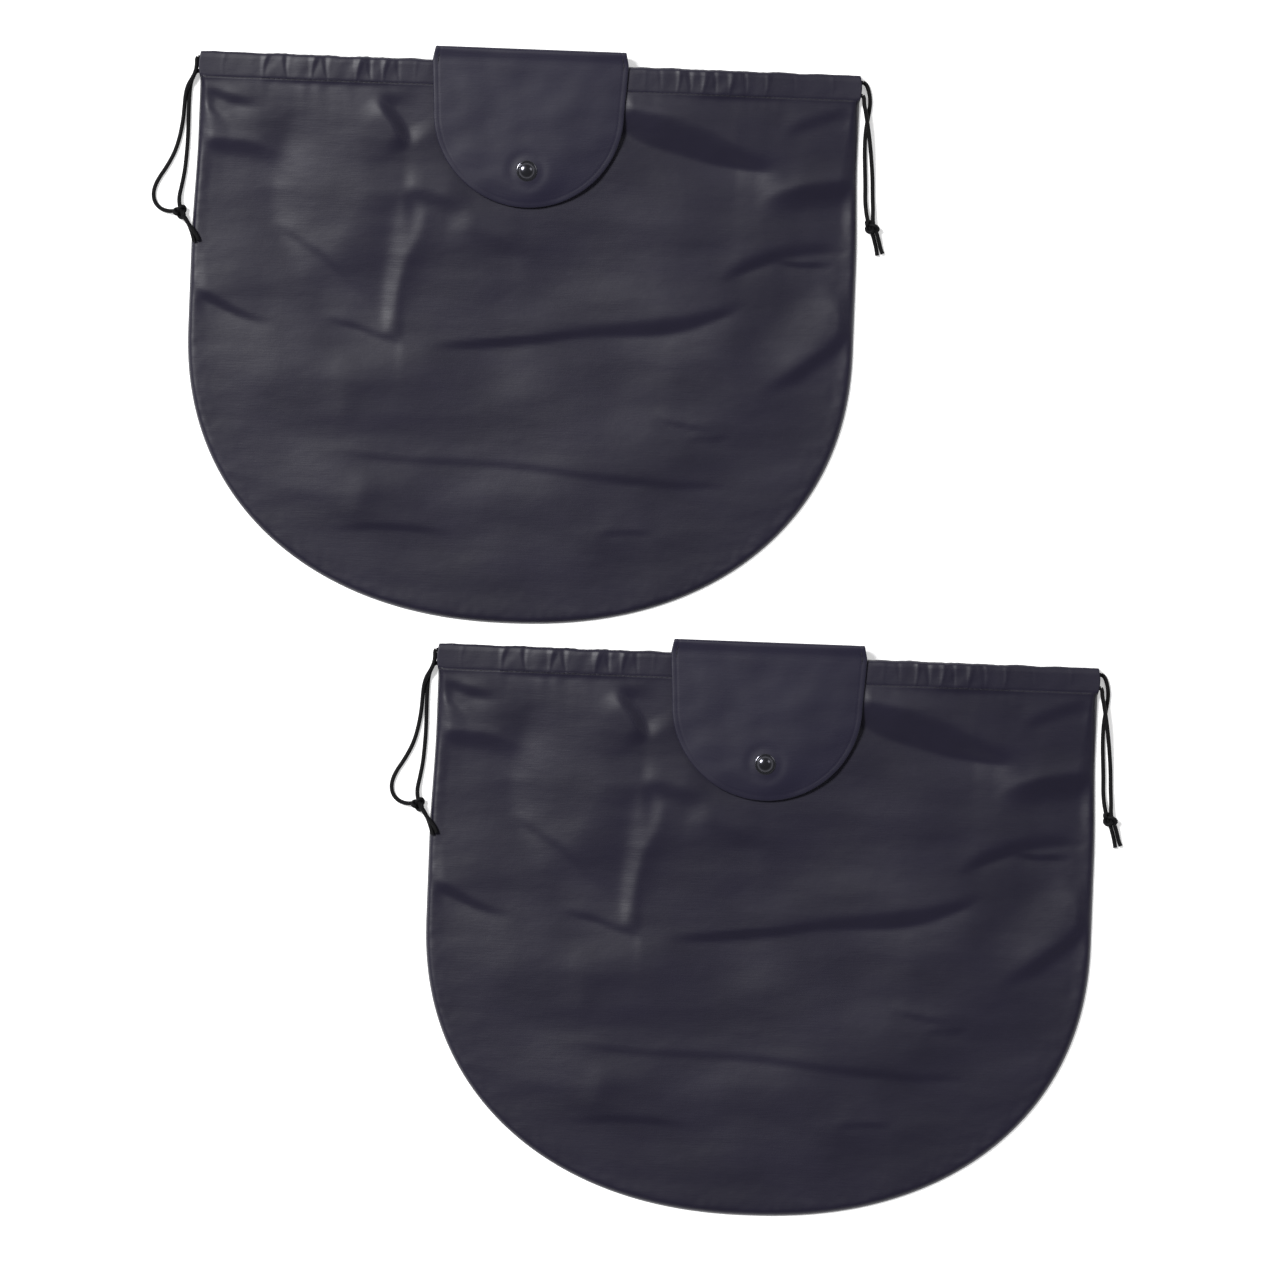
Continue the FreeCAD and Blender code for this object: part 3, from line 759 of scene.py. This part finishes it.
def tube(centres, radius, sides):
    """Vertices and faces of a closed tube round a line of points."""
    centres = np.array(centres)
    ways = np.gradient(centres, axis=0)
    ways /= np.linalg.norm(ways, axis=1, keepdims=True)
    vertices, normal = [], np.array([0.0, 0.0, 1.0])
    for centre, way in zip(centres, ways):
        normal = normal - way * (normal @ way)
        normal = normal / np.linalg.norm(normal)
        beside = np.cross(way, normal)
        for turn in np.linspace(0, 2 * np.pi, sides, endpoint=False):
            vertices.append(centre + radius * (normal * math.cos(turn) + beside * math.sin(turn)))
    return vertices, ring_faces(len(centres), sides)


def joined(parts):
    """Several (vertices, faces) as one."""
    vertices, faces = [], []
    for part_vertices, part_faces in parts:
        first = len(vertices)
        vertices.extend(part_vertices)
        faces.extend([tuple(first + i for i in face) for face in part_faces])
    return vertices, faces


def make_knot(cover, pull, material):
    """An overhand knot tied in both strands at once: two cords side by side round a trefoil's path."""
    reach, flat = 1.15, 0.85
    turn, stretch, narrow = KNOT_SHAPES[pull]
    centre = strand_points(cover, pull, [KNOT_PLACES[pull]])[0]
    parts = []
    for offset in (-0.62, 0.62):
        t = np.linspace(0.35, 2 * math.pi - 0.35, 60)
        size = reach + 0.16 * offset
        x = size * (np.sin(t) + 2 * np.sin(2 * t)) * 0.98 * stretch
        y = size * (np.cos(t) - 2 * np.cos(2 * t)) * 0.98 * narrow
        z = -flat * 1.9 * np.sin(3 * t) + 1.15 * offset
        turned_x = x * math.cos(turn) - y * math.sin(turn)
        turned_y = x * math.sin(turn) + y * math.cos(turn)
        path = np.stack([turned_x, turned_y, z], axis=-1)
        parts.append(tube(centre + path * MM * np.array([1, 1, 0.72]), CORD_DIAMETER * 0.46 * MM, 12))
    vertices, faces = joined(parts)
    knot = wear(new_object(f"cover_{cover}_{pull}_overhand_knot", vertices, faces), material)
    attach(knot, f"cord_{cover}_{pull}")
    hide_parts(f"cover_{cover}_{pull}_knot")
    return knot


def make_cords(material):
    """Each drawcord: its knot, its two free strands and its length inside the casings."""
    for cover in COVERS:
        for pull, side in SIDE_SIGNS.items():
            body = f"cord_{cover}_{pull}"
            knot = make_knot(cover, pull, material)
            for casing in ("front", "back"):
                points = strand_points(cover, pull, STRANDS[pull, casing])
                strand = nurbs(f"cover_{cover}_{pull}_{casing}_strand", points, CORD_DIAMETER * MM)
                wear(strand, material)
                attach(strand, body)
                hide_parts(f"cover_{cover}_{pull}_cord_{casing}_end")
            make_held_cord(cover, pull, side, material)


def make_held_cord(cover, pull, side, material):
    """The cord inside the casings: along the front, round at the far end, and along the back."""
    front, back = (LOWER_LANE, UPPER_LANE) if pull == "right" else (UPPER_LANE, LOWER_LANE)
    far = HALF_WIDTH - HELD_CORD_MARGIN
    turn_start, turn_side = HELD_CORD_TURN - far, 1.2 - far
    middle_lane, middle_z = (front + back) / 2, (FRONT_CORD_Z + BACK_CORD_Z) / 2
    route = [
        (HALF_WIDTH, front, FRONT_CORD_Z),
        (0.0, front, FRONT_CORD_Z),
        (turn_start, front, FRONT_CORD_Z),
        (turn_side, front, FRONT_CORD_Z - 0.2),
        (-far, middle_lane, middle_z),
        (turn_side, back, BACK_CORD_Z + 0.2),
        (turn_start, back, BACK_CORD_Z),
        (0.0, back, BACK_CORD_Z),
        (HALF_WIDTH, back, BACK_CORD_Z),
    ]
    x, below, z = np.array(route).T
    cord = nurbs(f"cover_{cover}_{pull}_held_cord", place(cover, side * x, below, z), CORD_DIAMETER * MM)
    wear(cord, material)
    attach(cord, f"cord_{cover}_{pull}")
    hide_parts(f"cover_{cover}_{pull}_cord_in_casings")


# ---------------------------------------------------------------- the flap

def flap_half_width(below):
    """The flap's half width, from its fold past the mouth down to where its round end starts."""
    return np.interp(below, [FLAP_FOLD_BELOW, 0, FLAP_TIP_CENTRE], [57.2, 58.8, FLAP_TIP_RADIUS])


# Where the flap comes down over the mouth: below and height.
FLAP_TOP_PATH = [(-4.6, 14.1), (-2.8, 13.75), (-0.6, 13.55), (2.0, 13.62)]


def flap_side_path():
    """The flap's line seen from the side: below and height, from its sewn end to the start of its tip."""
    base = [(14.0, 3.85), (8.0, 3.85), (2.0, 3.85), (-3.0, 3.85)]
    bend_turns = np.radians(np.linspace(12, 78, 5))
    bend = [(-3.9 - 2.9 * math.sin(a), 6.75 - 2.9 * math.cos(a)) for a in bend_turns]
    riser = [(-7.0, 8.2), (-7.2, 10.0), (-7.3, 11.8)]
    fold_turns = np.radians(np.linspace(75, 180, 7))
    fold = [(-6.2 - 1.25 * math.sin(a), 13.0 - 1.25 * math.cos(a)) for a in fold_turns]
    return np.array(base + bend + riser + fold + FLAP_TOP_PATH)


def flap_rest_height(x, below):
    """The flap's middle height where it lies over the mouth and the front."""
    across = np.abs(x) / FLAP_TIP_RADIUS
    round_end = np.hypot(x, below - FLAP_TIP_CENTRE) / FLAP_TIP_RADIUS
    droop = 0.9 * across**3 + 1.6 * smoothstep(40, 90, below) * smoothstep(0.1, 1.0, round_end)
    beyond = (0.45 * x + below - 66) / 1.1
    slant = 2.4 * smoothstep(0, 55, beyond) + 0.5 * smoothstep(-6, 10, beyond)
    waves = 0.45 * noise(x / 40 + 3, below / 30, 41) + 0.2 * noise(x / 17, below / 12, 42)
    from_snap = np.hypot(x, below - SNAP_BELOW)
    pressed = smoothstep(5, 26, from_snap)
    dimple = 0.35 * np.exp(-(((from_snap - 9.5) / 3.0) ** 2))
    return FLAP_HEIGHT + (waves - droop - slant) * pressed - dimple


def flap_thickness(edge):
    """Half the flap's thickness: a round sewn edge, a stitched groove, and flat cloth inside it."""
    rim = np.sqrt(np.clip(1 - (1 - np.clip(edge, 0, 0.9) / 0.9) ** 2, 0, 1))
    groove = 0.10 * np.exp(-(((edge - FLAP_STITCH_INSET) / 0.5) ** 2))
    return 0.58 * rim - groove


def flap_grid():
    """The flap's middle surface: x, below and z, from its sewn end round the fold to its tip."""
    path = flap_side_path()
    straight = np.linspace(3.4, FLAP_TIP_CENTRE, 16)
    half_widths = flap_half_width(straight)
    x, below = u_grid(FLAP_COLUMNS, straight, 44, half_widths, FLAP_TIP_RADIUS, 2.0, FLAP_CROWDING)
    z = flap_rest_height(x, below)
    s = np.linspace(-1, 1, FLAP_COLUMNS)
    s = np.sign(s) * crowded(np.abs(s), FLAP_CROWDING)
    first_z = flap_rest_height(x[0], below[0])
    rows = []
    for step, (row_below, row_z) in enumerate(path):
        settle = smoothstep(0, 1, np.array(step / (len(path) - 1))) ** 6
        lift = (first_z - path[-1][1]) * settle
        rows.append((s * flap_half_width(row_below), np.full(FLAP_COLUMNS, row_below), row_z + lift))
    x = np.vstack([[row[0] for row in rows], x])
    below = np.vstack([[row[1] for row in rows], below])
    z = np.vstack([[row[2] for row in rows], z])
    return x, below, z


def flap_edge(x, below):
    """Distance from the flap's sewn edge."""
    side = flap_half_width(np.clip(below, FLAP_FOLD_BELOW, FLAP_TIP_CENTRE)) - np.abs(x)
    tip = FLAP_TIP_RADIUS - np.hypot(x, np.clip(below - FLAP_TIP_CENTRE, 0, None))
    return np.where(below > FLAP_TIP_CENTRE, tip, side)


def make_flaps(cloth, sewing):
    """The flaps: two layers of cloth sewn round the edge, with their topstitching."""
    x, below, z = flap_grid()
    middle = np.stack([x, -below, z], axis=-1)
    along = np.gradient(middle, axis=0)
    across = np.gradient(middle, axis=1)
    normal = np.cross(across, along)
    normal /= -np.linalg.norm(normal, axis=-1, keepdims=True)
    edge = np.clip(flap_edge(x, below), 0, None)
    half = flap_thickness(edge)
    half[0] = 0.3
    outer, inner = middle + normal * half[..., None], middle - normal * half[..., None]
    shape = x.shape
    faces = grid_faces(*shape)
    count = x.size
    faces += [tuple(reversed(face)) for face in grid_faces(*shape, first=count)]
    faces += rim_faces(*shape, count)
    steps = np.linalg.norm(np.diff(middle[:, shape[1] // 2], axis=0), axis=1)
    lengths = np.concatenate([[0], np.cumsum(steps)])
    uv = cloth_uv(x, np.broadcast_to(lengths[:, None], shape))
    for cover in COVERS:
        both = np.vstack([outer.reshape(-1, 3), inner.reshape(-1, 3)])
        vertices = place(cover, both[:, 0], -both[:, 1], both[:, 2])
        piece = wear(new_object(f"cover_{cover}_flap_cloth", vertices, faces, np.vstack([uv, uv])), cloth)
        stitches = topstitch(cover, sewing)
        nodes = [f"cover_{cover}_{n}" for n in ("flap_outer", "flap_lining", "flap_base")]
        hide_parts(*nodes)
        for bending in (piece, stitches):
            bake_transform(bending)


def rim_faces(rows, columns, count):
    """Faces that close a two-layer grid round its edge."""
    ring = [(0, c) for c in range(columns)]
    ring += [(r, columns - 1) for r in range(1, rows)]
    ring += [(rows - 1, c) for c in range(columns - 2, -1, -1)]
    ring += [(r, 0) for r in range(rows - 2, 0, -1)]
    index = [r * columns + c for r, c in ring]
    return [(a, b, b + count, a + count) for a, b in zip(index, index[1:] + index[:1])]


def stitch_line(points, normals, thickness):
    """Short threads end to end along a line of points."""
    steps = np.concatenate([[0], np.cumsum(np.linalg.norm(np.diff(points, axis=0), axis=1))])
    parts = []
    for start in np.arange(0, steps[-1] - STITCH, STITCH + STITCH_GAP):
        centres = []
        for share in (0.0, 0.18, 0.5, 0.82, 1.0):
            at = start + share * STITCH
            spot = np.array([np.interp(at, steps, points[:, i]) for i in range(3)])
            up = np.array([np.interp(at, steps, normals[:, i]) for i in range(3)])
            centres.append(spot + up * thickness * (0.55 * math.sin(math.pi * share) - 0.35))
        parts.append(tube(centres, thickness / 2, 6))
    return joined(parts)


def topstitch(cover, material):
    """The thread round the flap's edge, on its outside."""
    right = [(flap_half_width(b) - FLAP_STITCH_INSET, b) for b in np.linspace(-4.0, FLAP_TIP_CENTRE, 30)]
    radius = FLAP_TIP_RADIUS - FLAP_STITCH_INSET
    round_end = [
        (radius * math.cos(a), FLAP_TIP_CENTRE + radius * math.sin(a))
        for a in np.linspace(0, math.pi, 120)
    ]
    left = [(-x, b) for x, b in reversed(right)]
    line = np.array(right + round_end[1:-1] + left)
    x, below = line.T
    near_fold_below, near_fold_z = np.array(FLAP_TOP_PATH).T
    near_fold = np.interp(below, near_fold_below, near_fold_z)
    z = np.where(below < near_fold_below[-1], near_fold, flap_rest_height(x, below)) + 0.3
    points = place(cover, x, below, z)
    up = np.tile([0.0, 0.0, 1.0], (len(points), 1))
    vertices, faces = stitch_line(points, up, FLAP_THREAD)
    return wear(new_object(f"cover_{cover}_flap_topstitch", vertices, faces), material)


def make_casing_stitches(material):
    """The line of thread that closes each casing, on the front and on the back."""
    x = np.linspace(-HALF_WIDTH + 4, HALF_WIDTH - 4, 400)
    below = np.full_like(x, STITCH_LINE)
    for cover in COVERS:
        for side, height, up in (("front", front_height, 1.0), ("back", back_height, -1.0)):
            z = height(x, below) + 0.05 * up
            points = place(cover, x, below + 0.12 * noise(x / 20, x * 0, 51), np.maximum(z, 0.28))
            normals = np.tile([0.0, 0.0, up], (len(points), 1))
            vertices, faces = stitch_line(points, normals, CASING_THREAD)
            piece = wear(new_object(f"cover_{cover}_{side}_casing_stitches", vertices, faces), material)
            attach(piece, f"cover_{cover}")


def make_seam_allowances(cloth):
    """The overlocked strip inside each bag, along the seam."""
    line = []
    for t in np.linspace(0, 1, 260):
        if t < 0.2:
            line.append((1.0, STITCH_LINE + (ARCH_START - STITCH_LINE) * t / 0.2))
        elif t > 0.8:
            line.append((-1.0, STITCH_LINE + (ARCH_START - STITCH_LINE) * (1 - t) / 0.2))
        else:
            a = math.pi * (t - 0.2) / 0.6
            line.append((math.cos(a), ARCH_START + math.sin(a)))
    rows = []
    for into, z in ((1.4, 0.95), (3.4, 1.05), (5.4, 1.0), (7.2, 1.1)):
        row = []
        for across, down in line:
            if down <= ARCH_START:
                row.append((across * (half_width_at(down) - into), down, z))
            else:
                a = math.atan2(down - ARCH_START, across)
                size = 2 / ARCH_POWER
                reach_x, reach_y = HALF_WIDTH - into, ARCH_LENGTH - into
                side_x = math.copysign(abs(math.cos(a)) ** size, math.cos(a)) * reach_x
                row.append((side_x, ARCH_START + abs(math.sin(a)) ** size * reach_y, z))
        rows.append(row)
    x, below, z = np.moveaxis(np.array(rows), -1, 0)
    uv = cloth_uv(x, below)
    faces = grid_faces(*x.shape)
    for cover in COVERS:
        vertices = place(cover, x, below, z).reshape(-1, 3)
        piece = wear(new_object(f"cover_{cover}_seam_allowance", vertices, faces, uv), cloth)
        add_thickness(piece, SEAM_CLOTH, 0)
        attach(piece, f"cover_{cover}")
        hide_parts(f"cover_{cover}_edge_seam")


# ---------------------------------------------------------------- the snaps

def lathe(profile, centre, sides=64):
    """A turned piece: radius and height pairs, in metres, from the middle out and back."""
    vertices = []
    for radius, z in profile:
        for turn in np.linspace(0, 2 * np.pi, sides, endpoint=False):
            vertices.append((centre[0] + radius * math.cos(turn), centre[1] + radius * math.sin(turn), z))
    return vertices, ring_faces(len(profile), sides)


def make_snap_caps(material):
    """The domed caps, with a rolled rim, a fine groove inside it and the shank below."""
    for cover in COVERS:
        node = f"cover_{cover}_snap_cap"
        low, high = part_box(node)
        centre = ((low[0] + high[0]) / 2, (low[1] + high[1]) / 2)
        radius = (high[0] - low[0]) / 2
        face_z, top_z = high[2] - 2.5 * MM, high[2]
        shank = 1.3 * MM
        profile = [(shank * 0.6, low[2]), (shank, low[2] + 0.1 * MM), (shank, face_z)]
        profile.append((radius * 0.86, face_z))
        rim = 0.28 * MM
        for a in np.radians(np.linspace(-80, 70, 10)):
            profile.append((radius - rim + rim * math.cos(a), face_z + rim * (1 + math.sin(a))))
        dome_base, dome_radius = face_z + 0.7 * MM, radius * 0.78
        profile += [(radius * 0.84, dome_base), (radius * 0.81, dome_base - 0.08 * MM)]
        for a in np.radians(np.linspace(0, 88, 24)):
            profile.append((dome_radius * math.cos(a), dome_base + (top_z - dome_base) * math.sin(a)))
        profile.append((dome_radius * 0.01, top_z))
        vertices, faces = lathe(profile, centre)
        piece = wear(new_object(f"cover_{cover}_snap_cap_dome", vertices, faces), material)
        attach(piece, f"flap_{cover}")
        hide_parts(node)
        for name in ("snap_socket", "snap_stud", "snap_post"):
            wear(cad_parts[f"cover_{cover}_{name}"], material)


# ---------------------------------------------------------------- the whole scene


def main():
    cloth = nylon("cover_nylon", (0.0062, 0.0048, 0.0158), (0.0088, 0.0070, 0.0202), 0.45)
    flap_cloth = nylon("flap_nylon", (0.0070, 0.0055, 0.0195), (0.0092, 0.0075, 0.0236), 0.49)
    cord = braided("braided_cord")
    metal = lacquer("black_lacquer")
    sewing = thread("sewing_thread")
    make_camera()
    make_cords(cord)
    make_floor(pale_floor("pale_floor"))
    make_lights()
    make_panels(cloth)
    make_seam_allowances(cloth)
    make_casing_stitches(sewing)
    make_flaps(flap_cloth, sewing)
    make_snap_caps(metal)


main()
